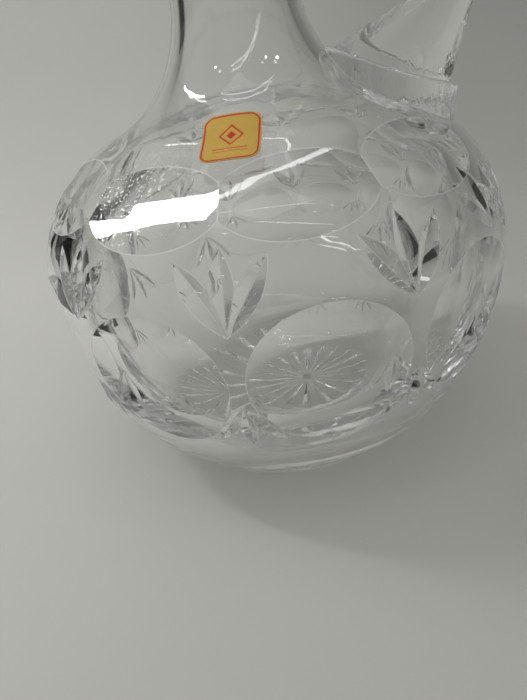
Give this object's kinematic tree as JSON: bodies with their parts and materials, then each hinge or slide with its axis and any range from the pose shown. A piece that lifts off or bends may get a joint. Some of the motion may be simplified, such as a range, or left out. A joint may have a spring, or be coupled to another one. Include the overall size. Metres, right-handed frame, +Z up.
{
  "type": "decanter",
  "caption": "Round-bodied cut crystal decanter with a glass handle, a plated collar, a pouring beak and a hinged domed lid.",
  "frame": {"origin": "middle of the base, on the surface that the decanter stands on", "axes": "+Z up along the body's axis, +X towards the handle and the hinge, -X towards the pouring beak"},
  "size_m": [0.1414, 0.145, 0.2447],
  "materials": {
    "lead_crystal": "polished, clear, cut",
    "silver_plate": "polished silver plate, lightly worn",
    "brass": "turned, bare",
    "plaster": "matte, set plaster",
    "cork": "matte cork",
    "foil": "satin gold foil with a red border"
  },
  "bodies": {
    "jug": {"vessel": "lead_crystal", "handle": "lead_crystal", "bedding": "plaster", "rim_gasket": "cork", "collar": "silver_plate", "foot_moulding": "silver_plate", "beak": "silver_plate", "hinge_bracket": "silver_plate", "hinge_pin": "silver_plate", "pin_caps": "silver_plate", "label": "foil"},
    "lid": {"lid": "silver_plate", "lid_band": "silver_plate", "lid_strap": "silver_plate", "strap_rivets": "silver_plate", "thumb_piece": "silver_plate", "knob": "silver_plate", "knob_stud": "brass", "stud_washer": "brass", "stud_nut": "brass"}
  },
  "joints": [
    {"name": "lid_hinge", "type": "hinge", "parent": "jug", "child": "lid", "pos_m": [0.0259, 0, 0.21816], "axis": [0, 1, 0], "range_deg": [0, 105]}
  ]
}
